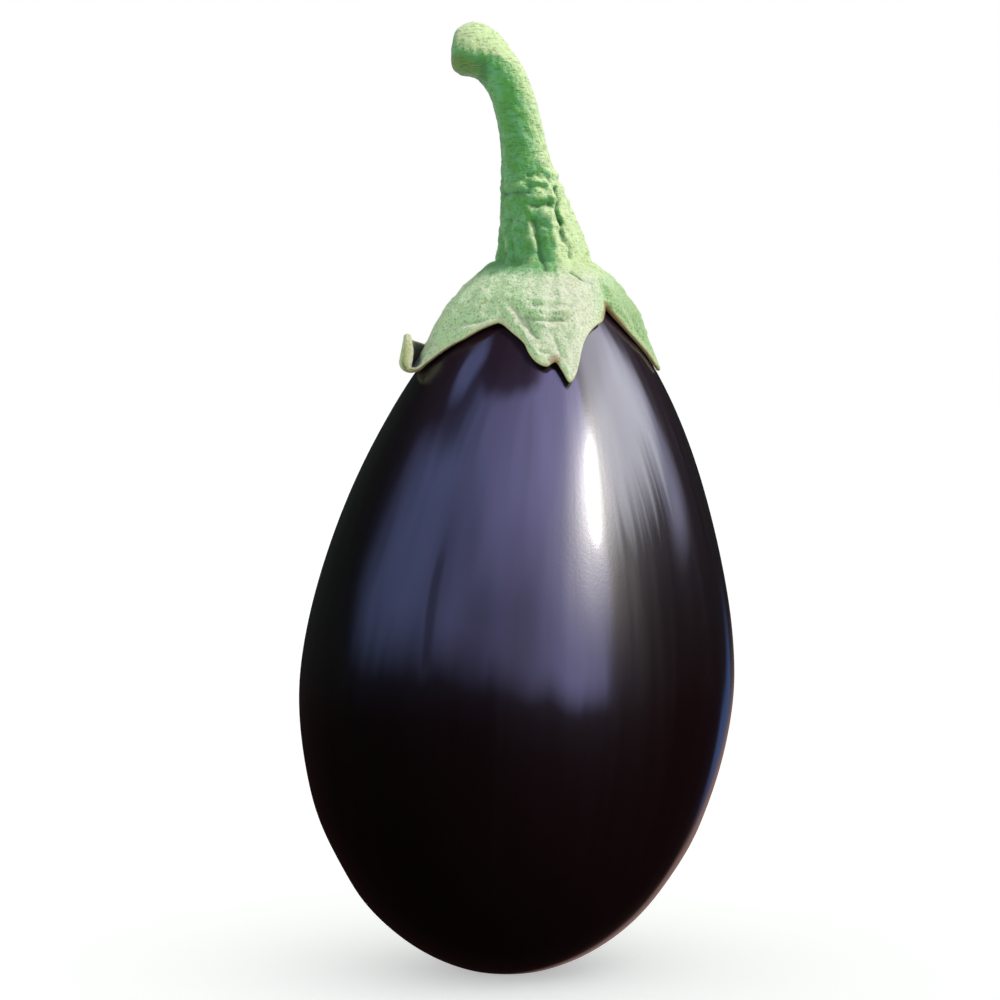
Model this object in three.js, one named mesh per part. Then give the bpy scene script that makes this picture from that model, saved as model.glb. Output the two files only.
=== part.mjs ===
// A globe eggplant that stands on the flat spot at its blossom end: the fruit, the leathery calyx with its
// uneven lobes, one of them curled up like a hook, and the ribbed stem that bends over at its cut end.
// Millimetres, +Z up. The origin is the centre of the flat spot. Azimuth 0 faces -Y and grows towards +X.
import * as THREE from "three";

// Fruit: half of its outline as (radius, height), in three Bezier arcs from the flat spot to the crown.
const flatSpotRadius = 9.3;
const bellyRadius = 52.5;
const bellyHeight = 68.8;
const shoulder = { radius: 12, height: 165.4 };
const crownHeight = 168.6;
const fruitSides = 60;
const fruitRings = 34;
// The fruit leans towards +X as it rises: the offset is height * (slope + bend * height).
const leanSlope = 0.03;
const leanBend = 0.00013;
// Soft lengthways swellings of the skin, which fade out at the flat spot and below the calyx.
const swellings = [
  { count: 3, depth: 0.3, turn: 0.7 },
  { count: 5, depth: 0.2, turn: 2.1 },
];
const swellFadeIn = [6, 40];
const swellFadeOut = [105, 136];

// Calyx: its margin runs from notch to tip to notch. A reach is measured along the fruit from the crown.
// Each side of a tip follows a power of the way from its notch, and a power above 1 draws the tip out.
const margin = [
  { azimuth: -25, reach: 27.2 },
  { azimuth: 2, reach: 38.8, before: 1.7, after: 0.8 },
  { azimuth: 8.5, reach: 37.2 },
  { azimuth: 14.8, reach: 43.8, before: 0.9, after: 1.8 },
  { azimuth: 47, reach: 23.6 },
  { azimuth: 80, reach: 41, before: 1.5, after: 1.6 },
  { azimuth: 114, reach: 25.5 },
  { azimuth: 145, reach: 41, before: 1.5, after: 1.4 },
  { azimuth: 174, reach: 26.5 },
  { azimuth: 204, reach: 43, before: 1.6, after: 1.5 },
  { azimuth: 234, reach: 26.5 },
  { azimuth: 289, reach: 55.5, before: 0.9, after: 1.42 },
  { azimuth: 335, reach: 27.2 },
];
// Between two azimuths the bed turns outwards and up from a start distance, until it heads at the end tilt.
const curl = { from: 246, to: 310, start: 40, radius: 2.8, endTilt: 98 };
// The cap is thick and fleshy at the stem, thins with each millimetre of reach and lifts off at its margin.
const calyxGap = 0.45;
const marginLift = 0.7;
const capThickness = 5.3;
const thinning = 0.072;
const marginThickness = 1.5;
const marginTaper = [0.72, 1];
const marginBulge = 0.5;
const midribHeight = 0.7;
const midribHalfWidth = 2.2;
const columnStep = 3.2;
// Rows of the calyx: wide ones up to a share of the reach, then narrow ones where the margin lifts and curls.
const wideRows = 6;
const narrowRows = 8;
const narrowFrom = 0.7;

// Stem: stations of its centre line, each with its radius and the tilt of its section towards -X in degrees.
const stations = [
  { x: 8.0, z: 175.4, radius: 10.2, tilt: 2 },
  { x: 7.3, z: 180.8, radius: 8.8, tilt: 7 },
  { x: 6.2, z: 185.8, radius: 7.8, tilt: 11 },
  { x: 5.2, z: 190.6, radius: 6.8, tilt: 12 },
  { x: 4.4, z: 195.5, radius: 5.8, tilt: 11 },
  { x: 3.5, z: 201.6, radius: 5.3, tilt: 11 },
  { x: 2.2, z: 207.6, radius: 5.1, tilt: 16 },
  { x: 0.1, z: 213.4, radius: 5.1, tilt: 27 },
  { x: -2.6, z: 218.2, radius: 5.5, tilt: 46 },
  { x: -5.3, z: 220.9, radius: 6.0, tilt: 66 },
  { x: -8.1, z: 221.6, radius: 6.4, tilt: 84 },
  { x: -10.3, z: 220.6, radius: 6.1, tilt: 100 },
  { x: -11.7, z: 219.6, radius: 4.8, tilt: 112 },
];
const stemSides = 56;
const stemRings = 38;
const footReach = 8.4;
const footRings = 5;
const footHeight = 0.8;
const footGap = 0.35;
const ribCount = 14;
const ribDepth = 0.62;
const toeReach = 1.6;
const ribFade = [181, 193];
const creases = [
  { height: 190.0, depth: 0.4, halfWidth: 0.9 },
  { height: 187.0, depth: 0.35, halfWidth: 0.9 },
];

const radians = THREE.MathUtils.degToRad;
const { smoothstep, lerp } = THREE.MathUtils;

// One closed body from rings of points, the first one lowest, each counterclockwise seen from above.
function ringedSolid(startPole, rings, endPole) {
  const sides = rings[0].length;
  const points = [startPole, ...rings.flat(), endPole];
  const faces = [];
  const last = 1 + (rings.length - 1) * sides;
  for (let j = 0; j < sides; j++) {
    const next = (j + 1) % sides;
    faces.push(0, 1 + next, 1 + j);
    for (let i = 0; i < rings.length - 1; i++) {
      const lower = 1 + i * sides;
      const upper = lower + sides;
      faces.push(lower + j, lower + next, upper + next);
      faces.push(lower + j, upper + next, upper + j);
    }
    faces.push(points.length - 1, last + j, last + next);
  }
  const geometry = new THREE.BufferGeometry().setFromPoints(points);
  geometry.setIndex(faces);
  geometry.computeVertexNormals();
  return geometry;
}

const outline = new THREE.CurvePath();
const arc = (...corners) => new THREE.CubicBezierCurve(...corners.map((c) => new THREE.Vector2(...c)));
outline.add(
  arc([flatSpotRadius, 0], [43.5, 9.2], [bellyRadius, 50.5], [bellyRadius, bellyHeight]),
);
outline.add(
  arc(
    [bellyRadius, bellyHeight],
    [bellyRadius, 90.3],
    [40, 140.1],
    [shoulder.radius, shoulder.height],
  ),
);
outline.add(
  arc([shoulder.radius, shoulder.height], [9.3, 167.9], [5, crownHeight], [0, crownHeight]),
);
const outlineLength = outline.getLength();

const lean = (height) => height * (leanSlope + leanBend * height);

// The point at a radius, height and azimuth, on the leaning axis of the fruit.
function around(radius, height, azimuth) {
  const x = lean(height) + radius * Math.sin(azimuth);
  return new THREE.Vector3(x, -radius * Math.cos(azimuth), height);
}

function ring(sides, place) {
  return Array.from({ length: sides }, (_, j) => place((2 * Math.PI * j) / sides));
}

function swell(height, azimuth) {
  const fade =
    smoothstep(height, ...swellFadeIn) * (1 - smoothstep(height, ...swellFadeOut));
  const waves = swellings.map((s) => s.depth * Math.sin(s.count * azimuth + s.turn));
  return fade * waves.reduce((sum, wave) => sum + wave, 0);
}

function fruitGeometry() {
  const rings = Array.from({ length: fruitRings }, (_, i) => {
    const p = outline.getPoint(i / fruitRings);
    return ring(fruitSides, (azimuth) => around(p.x + swell(p.y, azimuth), p.y, azimuth));
  });
  return ringedSolid(around(0, 0, 0), rings, around(0, crownHeight, 0));
}

// How far the calyx reaches at an azimuth in degrees from margin[0].azimuth up to a full turn past it.
function reachAt(degrees) {
  const after = margin.findIndex((m) => m.azimuth > degrees);
  const a = margin[after - 1];
  const b = margin[after];
  const share = (degrees - a.azimuth) / (b.azimuth - a.azimuth);
  if (b.before) return lerp(a.reach, b.reach, share ** b.before);
  return lerp(b.reach, a.reach, (1 - share) ** a.after);
}

// The bed that the calyx lies on: the fruit's outline, or past the start of the curl an arc that turns up
// and then runs straight. It gives a point as (radius, height) and the direction away from the fruit.
function bed(distance, degrees) {
  const curls = degrees > curl.from && degrees < curl.to && distance > curl.start;
  const along = 1 - (curls ? curl.start : distance) / outlineLength;
  const point = outline.getPoint(along);
  const tangent = outline.getTangent(along).negate();
  if (!curls) return { point, away: new THREE.Vector2(-tangent.y, tangent.x) };
  const startAngle = tangent.angle() - 2 * Math.PI;
  const turn = Math.min((distance - curl.start) / curl.radius, radians(curl.endTilt) - startAngle);
  const centre = new THREE.Vector2(-tangent.y, tangent.x).multiplyScalar(curl.radius).add(point);
  const heading = startAngle + turn;
  const away = new THREE.Vector2(-Math.sin(heading), Math.cos(heading));
  const straight = distance - curl.start - turn * curl.radius;
  const onArc = centre.addScaledVector(away, -curl.radius);
  onArc.x += straight * Math.cos(heading);
  onArc.y += straight * Math.sin(heading);
  return { point: onArc, away };
}

// A point of the calyx at an azimuth, a distance from the crown and a height above the bed.
function onCalyx(degrees, distance, height) {
  const { point, away } = bed(distance, degrees);
  const at = point.addScaledVector(away, height);
  return around(Math.max(at.x, 0), at.y, radians(degrees));
}

// The height of the midribs, which run from the stem to each tip.
function midrib(degrees, distance) {
  const radius = outline.getPoint(1 - distance / outlineLength).x;
  const tips = margin.filter((m) => m.before);
  const ribs = tips.map((tip) => {
    const off = radians(Math.abs(tip.azimuth - degrees)) * radius;
    return Math.exp(-((off / midribHalfWidth) ** 2)) * (1 - distance / tip.reach);
  });
  return midribHeight * Math.max(0, ...ribs);
}

// The heights of the calyx's underside and upper side above its bed, at a share of the way to the margin.
function calyxLift(share) {
  return calyxGap + marginLift * smoothstep(share, ...marginTaper);
}

function calyxTop(degrees, share) {
  const distance = share * reachAt(degrees);
  const full = capThickness - thinning * Math.min(distance, curl.start);
  const thickness = lerp(full, marginThickness, smoothstep(share, ...marginTaper));
  return calyxLift(share) + thickness + midrib(degrees, distance);
}

function calyxGeometry() {
  const columns = [];
  for (let i = 1; i < margin.length; i++) {
    const from = margin[i - 1].azimuth;
    const width = margin[i].azimuth - from;
    const steps = Math.ceil(width / columnStep);
    for (let j = 0; j < steps; j++) columns.push(from + (width * j) / steps);
  }
  const shares = [];
  for (let i = 1; i <= wideRows; i++) shares.push((narrowFrom * i) / wideRows);
  for (let i = 1; i <= narrowRows; i++) shares.push(lerp(narrowFrom, 1, i / narrowRows));
  const row = (share, height) =>
    columns.map((c) => onCalyx(c, share * (reachAt(c) - marginBulge), height(c, share)));
  const underside = shares.map((share) => row(share, (c) => calyxLift(share)));
  const middle = calyxLift(1) + marginThickness / 2;
  const edge = columns.map((c) => onCalyx(c, reachAt(c), middle));
  const upperSide = shares.map((share) => row(share, calyxTop)).reverse();
  const bottom = around(0, crownHeight + calyxGap, 0);
  const top = around(0, crownHeight + calyxGap + capThickness + midribHeight, 0);
  return ringedSolid(bottom, [...underside, edge, ...upperSide], top);
}

// The stem's centre line, radius and tilt at a share of its length, through the stations.
const stemLine = new THREE.CatmullRomCurve3(stations.map((s) => new THREE.Vector3(s.x, 0, s.z)));
const stemSize = new THREE.SplineCurve(
  stations.map((s) => new THREE.Vector2(s.radius, radians(s.tilt))),
);

// Ribs run down the neck from azimuth to azimuth, 1 on a rib and -1 in a furrow, and end in toes.
const ribWave = (azimuth) => Math.cos(ribCount * azimuth + 0.9 * Math.sin(2 * azimuth));

function stemRing(share) {
  const centre = stemLine.getPoint(share);
  const size = stemSize.getPoint(share);
  const groove = creases.reduce(
    (sum, c) => sum + c.depth * Math.exp(-(((centre.z - c.height) / c.halfWidth) ** 2)),
    0,
  );
  const ribs = ribDepth * (1 - smoothstep(centre.z, ...ribFade));
  return ring(stemSides, (azimuth) => {
    const radius = size.x - groove + ribs * ribWave(azimuth);
    const side = radius * Math.sin(azimuth);
    const x = centre.x + side * Math.cos(size.y);
    return new THREE.Vector3(x, -radius * Math.cos(azimuth), centre.z + side * Math.sin(size.y));
  });
}

// A ring of the stem's foot, which lies on the calyx just clear of it. Its reach is measured as the calyx's.
function footRing(reach, clear) {
  return ring(stemSides, (azimuth) => {
    const degrees = THREE.MathUtils.radToDeg(azimuth);
    const toes = Math.max(0, ribWave(azimuth)) * toeReach * (reach / footReach);
    const distance = reach + toes;
    const wrapped = degrees < margin.at(-1).azimuth ? degrees : degrees - 360;
    const height = calyxTop(wrapped, distance / reachAt(wrapped)) + footGap + clear;
    return onCalyx(wrapped, distance, height);
  });
}

function stemGeometry() {
  const rings = [];
  for (let i = 1; i <= footRings; i++) rings.push(footRing((footReach * i) / footRings, 0));
  rings.push(footRing(footReach, footHeight));
  for (let i = 0; i <= stemRings; i++) rings.push(stemRing(i / stemRings));
  const bottom = around(0, crownHeight + calyxGap + capThickness + midribHeight + footGap, 0);
  const end = stations.at(-1);
  return ringedSolid(bottom, rings, new THREE.Vector3(end.x, 0, end.z));
}

function addPart(group, name, geometry, color, roughness) {
  const material = new THREE.MeshStandardMaterial({ color, roughness, metalness: 0 });
  const mesh = new THREE.Mesh(geometry, material);
  mesh.name = name;
  group.add(mesh);
}

const eggplant = new THREE.Group();
addPart(eggplant, "fruit", fruitGeometry(), 0x1d1426, 0.15);
addPart(eggplant, "calyx", calyxGeometry(), 0x9dbd85, 0.8);
addPart(eggplant, "stem", stemGeometry(), 0x7fb26b, 0.8);

export default eggplant;
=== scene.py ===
import bisect
import functools
import math

import bmesh
import bpy
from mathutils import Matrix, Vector, noise
from mathutils.geometry import interpolate_bezier


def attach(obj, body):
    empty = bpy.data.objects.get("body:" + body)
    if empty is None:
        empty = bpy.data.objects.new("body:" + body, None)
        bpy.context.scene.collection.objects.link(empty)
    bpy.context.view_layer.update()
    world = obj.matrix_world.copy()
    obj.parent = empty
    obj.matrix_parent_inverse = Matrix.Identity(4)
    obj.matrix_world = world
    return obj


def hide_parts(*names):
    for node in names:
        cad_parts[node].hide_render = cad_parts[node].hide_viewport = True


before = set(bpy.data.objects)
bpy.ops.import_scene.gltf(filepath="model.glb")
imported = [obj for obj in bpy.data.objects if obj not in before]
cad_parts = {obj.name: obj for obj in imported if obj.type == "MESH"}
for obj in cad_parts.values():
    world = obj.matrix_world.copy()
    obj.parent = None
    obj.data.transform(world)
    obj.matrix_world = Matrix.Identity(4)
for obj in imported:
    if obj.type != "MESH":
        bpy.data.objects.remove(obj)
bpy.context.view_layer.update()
mm = 0.001
seedShift = (7.3, -3.1, 1)  # how far each seed moves the noise
print("frame loaded")


def fade(value, low, high):  # 0 below low, 1 above high, smooth between
    t = min(max((value - low) / (high - low), 0), 1)
    return t * t * (3 - 2 * t)


def mix(a, b, share):
    return a + (b - a) * share


def bump(distance, width):
    return math.exp(-((distance / width) ** 2))


def rough(x, y, z, size, seed):  # noise from -1 to 1 with lumps of about that size
    shifted = [part / size + seed * shift for part, shift in zip((x, y, z), seedShift)]
    return noise.noise(Vector(shifted))


def layered(point, layers):  # noise added up from layers of (depth, size, seed)
    return sum(depth * rough(*point, size, seed) for depth, size, seed in layers)


def direction(azimuth, elevation):
    a, e = math.radians(azimuth), math.radians(elevation)
    return Vector((math.sin(a) * math.cos(e), -math.cos(a) * math.cos(e), math.sin(e)))


def farFrom(path, spot):  # how far a flat spot is from a line of points, or from one point
    if len(path) == 1:
        return (Vector(path[0]) - spot).length
    nearest = math.inf
    for a, b in zip(path, path[1:]):
        start, along = Vector(a) - spot, Vector(b) - Vector(a)
        share = min(max(-start.dot(along) / along.length_squared, 0), 1)
        nearest = min(nearest, (start + along * share).length)
    return nearest


def deselectAll():
    if bpy.context.mode != "OBJECT":
        bpy.ops.object.mode_set(mode="OBJECT")
    bpy.ops.object.select_all(action="DESELECT")


def applyModifier(piece, kind, **settings):
    bpy.context.view_layer.objects.active = piece
    bpy.ops.object.modifier_add(type=kind)
    modifier = piece.modifiers[-1]
    for name, value in settings.items():
        setattr(modifier, name, value)
    bpy.ops.object.modifier_apply(modifier=modifier.name)


def selectRing(piece, ring):
    bpy.ops.mesh.select_all(action="DESELECT")
    mesh = bmesh.from_edit_mesh(piece.data)
    mesh.verts.ensure_lookup_table()
    for index in ring:
        mesh.verts[index].select = True
    mesh.select_flush(True)
    bmesh.update_edit_mesh(piece.data)


# A cylinder cut into rings 1 unit apart, each ring then laid on its points and both ends closed
# by a pole.
def growRings(name, rings, firstPole, lastPole):
    deselectAll()
    last, sides = len(rings) - 1, len(rings[0])
    bpy.ops.mesh.primitive_cylinder_add(
        vertices=sides, radius=1, depth=last, end_fill_type="TRIFAN",
    )
    piece = bpy.context.object
    piece.name = name
    bpy.ops.object.mode_set(mode="EDIT")
    bpy.ops.mesh.select_all(action="DESELECT")
    mesh = bmesh.from_edit_mesh(piece.data)
    for edge in mesh.edges:
        edge.select = abs(edge.verts[0].co.z - edge.verts[1].co.z) > 1
    bmesh.update_edit_mesh(piece.data)
    bpy.ops.mesh.subdivide_edgering(number_cuts=last - 1, interpolation="LINEAR")
    mesh = bmesh.from_edit_mesh(piece.data)
    mesh.verts.index_update()
    places = {}
    for vertex in mesh.verts:
        ring = round(vertex.co.z + last / 2)
        if vertex.co.to_2d().length < 0.5:
            vertex.co = (lastPole if ring else firstPole) * mm
            continue
        column = round(math.atan2(vertex.co.x, -vertex.co.y) / math.tau * sides) % sides
        places[ring, column] = vertex.index
        vertex.co = rings[ring][column] * mm
    bmesh.update_edit_mesh(piece.data)
    bpy.ops.mesh.select_all(action="SELECT")
    bpy.ops.mesh.normals_make_consistent(inside=False)
    if bmesh.from_edit_mesh(piece.data).calc_volume(signed=True) < 0:
        bpy.ops.mesh.flip_normals()
    bpy.ops.object.mode_set(mode="OBJECT")
    grown = [[places[ring, column] for column in range(sides)] for ring in range(len(rings))]
    return piece, grown


def addValues(piece, name, values):
    layer = piece.data.attributes.new(name, "FLOAT", "POINT")
    layer.data.foreach_set("value", values)


def readValues(piece, name):
    values = [0.0] * len(piece.data.vertices)
    piece.data.attributes[name].data.foreach_get("value", values)
    return values


def finishPiece(piece, node, material):
    bpy.ops.object.shade_smooth()
    piece.data.materials.clear()
    piece.data.materials.append(material)
    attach(piece, "root")
    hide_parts(node)


# The fruit, in millimetres.
fruit = {
    # the outline as (radius, height), in three arcs from the flat spot to the crown
    "arcs": [
        [(9.3, 0), (43.5, 9.2), (52.5, 50.5), (52.5, 68.8)],
        [(52.5, 68.8), (52.5, 90.3), (40, 140.1), (12, 165.4)],
        [(12, 165.4), (9.3, 167.9), (5, 168.6), (0, 168.6)],
    ],
    "arcPoints": 160, "probe": 0.4,
    "leanSlope": 0.03, "leanBend": 0.00013,
    "sides": 72, "rings": 54, "subdivisions": 2,
    "flatSpotRings": (0.8, 0.72, 0.65, 0.6, 0.5),  # each as a share of the one before
    "swellings": [(3, 0.3, 0.7), (5, 0.2, 2.1)],  # how many round the fruit, depth, turn
    "swellIn": (6, 40), "swellOut": (105, 136),
    # fine lengthways flutes: share, noise round the fruit, stretch along it, size, seed
    "flutes": [(1, 9, 14, 2.1, 3), (0.5, 20, 9, 2.0, 5)],
    "fluteDepth": 0.1, "fluteIn": (4, 30),
    # shallow lumps: azimuth, height, half width, how far out
    "lumps": [
        (-97, 27, 6, -0.45), (-88, 16, 6, 0.35), (-92, 40, 8, 0.2), (96, 33, 6, 0.3),
        (90, 22, 6, -0.3),
    ],
    "lumpSquash": 0.5,
    "scarRadius": 4.2, "scarDepth": 0.5, "scarSlope": 1.6, "scarTop": 1,
    "scarWaves": (5, 0.18, 1),  # how many, depth, turn
}


def leanAt(height):
    return height * (fruit["leanSlope"] + fruit["leanBend"] * height)


def measureOutline():
    points = []
    for arc in fruit["arcs"]:
        knots = [Vector((radius, height, 0)) for radius, height in arc]
        points += interpolate_bezier(*knots, fruit["arcPoints"])[1 if points else 0:]
    points.reverse()
    reaches = [0.0]
    for a, b in zip(points, points[1:]):
        reaches.append(reaches[-1] + (b - a).length)
    return [p.to_2d() for p in points], reaches


outlinePoints, outlineReaches = measureOutline()
crown = outlinePoints[0].y
outlineLength = outlineReaches[-1]


def onOutline(reach):  # the outline's point at a distance from the crown
    reach = min(max(reach, 0), outlineLength)
    after = min(max(bisect.bisect_left(outlineReaches, reach), 1), len(outlineReaches) - 1)
    start, end = outlineReaches[after - 1], outlineReaches[after]
    share = (reach - start) / (end - start)
    return outlinePoints[after - 1].lerp(outlinePoints[after], share)


def alongOutline(reach):  # which way the outline heads, away from the crown
    probe = fruit["probe"]
    return (onOutline(reach + probe) - onOutline(reach - probe)).normalized()


def around(radius, height, degrees):
    turn = math.radians(degrees)
    return Vector((leanAt(height) + radius * math.sin(turn), -radius * math.cos(turn), height))


def bearing(point):  # degrees round the leaning axis, 0 at the front, of a point in millimetres
    return math.degrees(math.atan2(point.x - leanAt(point.z), -point.y))


def offAzimuth(a, b):  # degrees from one azimuth to another, the short way
    return (a - b + 180) % 360 - 180


def growFruit():
    deselectAll()
    rings = fruit["rings"]
    steps = [onOutline(outlineLength * (1 - i / rings)) for i in range(rings)]
    bpy.ops.mesh.primitive_circle_add(vertices=fruit["sides"], radius=steps[0].x * mm)
    piece = bpy.context.object
    piece.name = "fruit_skin"
    bpy.ops.object.mode_set(mode="EDIT")
    bpy.ops.mesh.select_all(action="SELECT")
    for below, step in zip(steps, steps[1:]):
        shift = Vector((leanAt(step.y) - leanAt(below.y), 0, step.y - below.y)) * mm
        centre = around(0, step.y, 0) * mm
        scale = step.x / below.x
        bpy.ops.mesh.extrude_region_move(TRANSFORM_OT_translate={"value": shift})
        bpy.ops.transform.resize(value=(scale, scale, 1), center_override=centre)
    bpy.ops.mesh.extrude_region_move()
    bpy.ops.mesh.merge(type="CENTER")
    mesh = bmesh.from_edit_mesh(piece.data)
    for vertex in mesh.verts:
        if vertex.select:
            vertex.co = around(0, crown, 0) * mm
    bmesh.update_edit_mesh(piece.data)
    selectRing(piece, range(fruit["sides"]))
    for scale in fruit["flatSpotRings"]:
        bpy.ops.mesh.extrude_region_move()
        bpy.ops.transform.resize(value=(scale, scale, 1), center_override=(0, 0, 0))
    bpy.ops.mesh.extrude_region_move()
    bpy.ops.mesh.merge(type="CENTER")
    bpy.ops.mesh.select_all(action="SELECT")
    bpy.ops.mesh.normals_make_consistent(inside=False)
    bpy.ops.object.mode_set(mode="OBJECT")
    levels = fruit["subdivisions"]
    applyModifier(piece, "SUBSURF", levels=levels, render_levels=levels)
    return piece


# Soft lengthways swellings and flutes, and the scar where the flower was.
def shapeFruit(piece):
    waves, waveDepth, waveTurn = fruit["scarWaves"]
    for vertex in piece.data.vertices:
        point = vertex.co / mm
        degrees = bearing(point)
        turn = math.radians(degrees)
        onHeight = math.hypot(point.x - leanAt(point.z), point.y)
        swell = sum(
            depth * math.sin(count * turn + start) for count, depth, start in fruit["swellings"]
        )
        swell *= fade(point.z, *fruit["swellIn"]) * (1 - fade(point.z, *fruit["swellOut"]))
        flutes = 0
        for share, wide, tall, size, seed in fruit["flutes"]:
            onRing = math.sin(turn) * wide, math.cos(turn) * wide
            flutes += share * rough(*onRing, point.z / tall, size, seed)
        lift = swell + fruit["fluteDepth"] * flutes * fade(point.z, *fruit["fluteIn"])
        for azimuth, height, halfWidth, out in fruit["lumps"]:
            off = math.radians(offAzimuth(degrees, azimuth)) * onHeight * fruit["lumpSquash"]
            lift += out * bump(math.hypot(off, point.z - height), halfWidth)
        vertex.co += Vector((math.sin(turn), -math.cos(turn), 0)) * lift * mm
        if point.z < fruit["scarTop"]:
            radius = math.hypot(point.x, point.y)
            edge = fruit["scarRadius"] * (1 + waveDepth * math.sin(waves * turn + waveTurn))
            sunk = 1 - fade(radius, edge - fruit["scarSlope"], edge)
            vertex.co.z += fruit["scarDepth"] * sunk * mm


# The calyx, in millimetres. Reach is measured along the fruit from the crown.
calyx = {
    # azimuth and reach of points on the margin, once round
    "margin": [
        (-25, 26.4), (-15, 29.2), (-8, 32), (-4.8, 34.8), (-1, 37.2), (4, 38.5), (8, 37.4),
        (10.6, 39.6), (13.6, 42.8), (16.4, 41.2), (18.8, 38), (21, 34.8), (24, 31.8),
        (30, 28.7), (36, 26.9), (42.5, 25.6), (48.5, 23.2), (53.5, 21.4), (57.5, 24.8),
        (62.6, 28), (68, 30.9), (75.5, 34.6), (81, 38.6), (84.5, 39.8), (89, 37.6),
        (97, 31.6), (106, 27.2), (115, 25.3), (124, 27.6), (133, 33.4), (140, 39.4),
        (144, 40.8), (148.5, 39), (156, 33), (165, 28), (174, 26.2), (183, 28.4),
        (192, 34.6), (200, 41.4), (204, 43), (208, 41), (216, 33.6), (225, 28.2),
        (234, 26.6), (243, 28.8), (250, 34), (256, 39.4), (262, 43.4), (268, 46.4),
        (275, 49.8), (281, 52.6), (284.6, 53.8), (287, 53.4), (288.6, 49.4), (289.6, 44.6),
        (290.8, 41), (292.6, 38.8), (295.5, 37.4), (298, 36.3), (302, 34.8), (308, 33),
        (316, 31), (323, 28.8), (329, 27.2),
    ],
    # the lobe that curls up: its azimuths, where the curl starts, and its back and front forms
    "curlFrom": 246, "curlTo": 310, "curlStart": 38.6,
    "curlTurn": (266, 284), "curlRadius": (0.8, 3.3), "curlTilt": (118, 96),
    "gap": 0.4, "marginLift": 0.45, "liftWaves": (7, 0.6),
    "snugLobe": (80, 26), "snugShare": 0.5,  # azimuth and half width of a lobe close to the skin
    "thickness": 5.3, "thinning": 0.072, "marginThickness": 0.95,
    "crownDip": 1.3, "crownDipEnd": (8, 19),
    # the hook's fleshy edge: azimuth and half width, then the reaches where it swells and thins
    "hookAt": (287, 8), "hookThickness": 1.6, "hookSwells": (44, 48), "hookThins": (49, 54.5),
    "hookThinShare": 0.7, "hookTaper": 14,
    "taper": (0.66, 1), "marginBulge": 0.4,
    "midribs": [(2, 38), (14.8, 43), (83, 40), (145, 41), (204, 43), (287, 55)],
    "midribHeight": 0.7, "midribHalfWidth": 2.2,
    "columns": 400, "frontDraw": 18, "underRows": 44, "topRows": 110,
    # relief of the upper face: layers of noise, veins, the toes of the stem's ribs, the rim
    "lumps": [(0.3, 6.5, 1), (0.26, 2.8, 2), (0.22, 1.5, 3), (0.1, 0.8, 11)],
    "lumpsInside": (0.3, 2.2),
    "veins": 23, "veinDepth": 0.14, "veinSway": (1.5, 3), "veinWander": (0.05, 9, 4),
    "veinsFrom": (9, 16), "veinsInside": (1, 8),
    "toeHeight": 0.5, "toeEnd": (9, 15.5),
    "rimHeight": 0.1, "rimIn": 0.8, "rimHalfWidth": 0.7,
    "foldSpan": 60, "foldWander": 21, "foldUneven": (0.5, 3.5, 23),
}


@functools.lru_cache(maxsize=None)
def reachAt(degrees):  # a smooth line through the points of the margin
    margin = calyx["margin"]
    count = len(margin)
    degrees = (degrees - margin[0][0]) % 360 + margin[0][0]
    first = max(i for i, m in enumerate(margin) if m[0] <= degrees)

    def point(i):
        return margin[i % count][0] + 360 * (i // count), margin[i % count][1]

    (a, reachA), (b, reachB) = point(first), point(first + 1)
    before, after = point(first - 1), point(first + 2)
    slopeA = (reachB - before[1]) / (b - before[0])
    slopeB = (after[1] - reachA) / (after[0] - a)
    span = b - a
    t = (degrees - a) / span
    value = (2 * t ** 3 - 3 * t * t + 1) * reachA + (3 * t * t - 2 * t ** 3) * reachB
    value += (t ** 3 - 2 * t * t + t) * slopeA * span
    return value + (t ** 3 - t * t) * slopeB * span


# The bed that the calyx lies on: the fruit, or past the start of the curl an arc that turns up.
def bed(reach, degrees):
    curls = calyx["curlFrom"] < degrees % 360 < calyx["curlTo"] and reach > calyx["curlStart"]
    start = calyx["curlStart"] if curls else reach
    point, heading = onOutline(start), alongOutline(start)
    away = Vector((-heading.y, heading.x))
    if not curls:
        return point, away
    angle = math.atan2(heading.y, heading.x)
    past = reach - calyx["curlStart"]
    opened = fade(degrees % 360, *calyx["curlTurn"])  # the hook is closed at its back
    radius = mix(*calyx["curlRadius"], opened)
    turn = min(past / radius, math.radians(mix(*calyx["curlTilt"], opened)) - angle)
    centre = point + away * radius
    angle += turn
    away = Vector((-math.sin(angle), math.cos(angle)))
    straight = past - turn * radius
    return centre - away * radius + Vector((away.y, -away.x)) * straight, away


def onCalyx(degrees, reach, height):
    point, away = bed(reach, degrees)
    point = point + away * height
    return around(max(point.x, 0), point.y, degrees)


def midrib(degrees, reach):
    radius = onOutline(reach).x
    best = 0
    for azimuth, tipReach in calyx["midribs"]:
        off = math.radians(offAzimuth(degrees, azimuth)) * radius
        best = max(best, bump(off, calyx["midribHalfWidth"]) * max(0, 1 - reach / tipReach))
    return calyx["midribHeight"] * best


def underLift(degrees, share):
    azimuth, halfWidth = calyx["snugLobe"]
    waves, waveHeight = calyx["liftWaves"]
    snug = bump(offAzimuth(degrees, azimuth), halfWidth)
    wavy = 1 + waveHeight * math.sin(math.radians(degrees) * waves)
    lift = calyx["marginLift"] * wavy * (1 - snug)
    return calyx["gap"] * (1 - calyx["snugShare"] * snug) + lift * fade(share, *calyx["taper"])


def marginAt(degrees, reach):  # how thick the margin is
    azimuth, halfWidth = calyx["hookAt"]
    hook = bump(offAzimuth(degrees, azimuth), halfWidth) * fade(reach, *calyx["hookSwells"])
    hook *= 1 - calyx["hookThinShare"] * fade(reach, *calyx["hookThins"])
    return calyx["marginThickness"] + calyx["hookThickness"] * hook


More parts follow.
